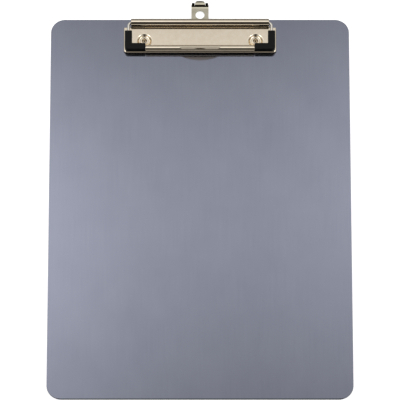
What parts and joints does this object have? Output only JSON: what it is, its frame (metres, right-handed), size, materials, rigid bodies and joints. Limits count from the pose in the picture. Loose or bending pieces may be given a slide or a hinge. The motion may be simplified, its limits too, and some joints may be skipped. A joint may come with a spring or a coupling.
{
  "type": "clipboard",
  "caption": "Letter-size metal clipboard with a low sprung wire-bail clip, rubber corner grips, a thumb tab and a pull-out hanging tab.",
  "frame": {"origin": "centre of the board's flat back face", "axes": "+X to the right across the board, +Y along the board towards the clip, +Z out of the writing face"},
  "size_m": [0.2286, 0.3333, 0.0117],
  "materials": {
    "board": "satin blue-grey anodised",
    "plate": "bright nickel plate on steel",
    "rivet": "bright nickel plate on steel",
    "wire": "bright nickel plate on spring steel",
    "jaw": "bright nickel plate on steel",
    "grip": "satin black moulded rubber",
    "tab": "nickel plate on steel"
  },
  "bodies": {
    "root": {"board": "board", "base_plate": "plate", "rivet_left": "rivet", "rivet_right": "rivet"},
    "jaw": {"bail_wire": "wire", "jaw_bar": "jaw", "corner_grip_left": "grip", "corner_grip_right": "grip"},
    "tab": {"hanging_tab": "tab"}
  },
  "joints": [
    {"name": "jaw_hinge", "type": "hinge", "parent": "root", "child": "jaw", "pos_m": [0, 0.15395, 0.0065], "axis": [-1, 0, 0], "range_deg": [0, 90], "stiffness_Nm_per_rad": 1.2, "springref_deg": -14.9},
    {"name": "tab_slide", "type": "slide", "parent": "root", "child": "tab", "axis": [0, 1, 0], "range_m": [-0.0127, 0]}
  ]
}
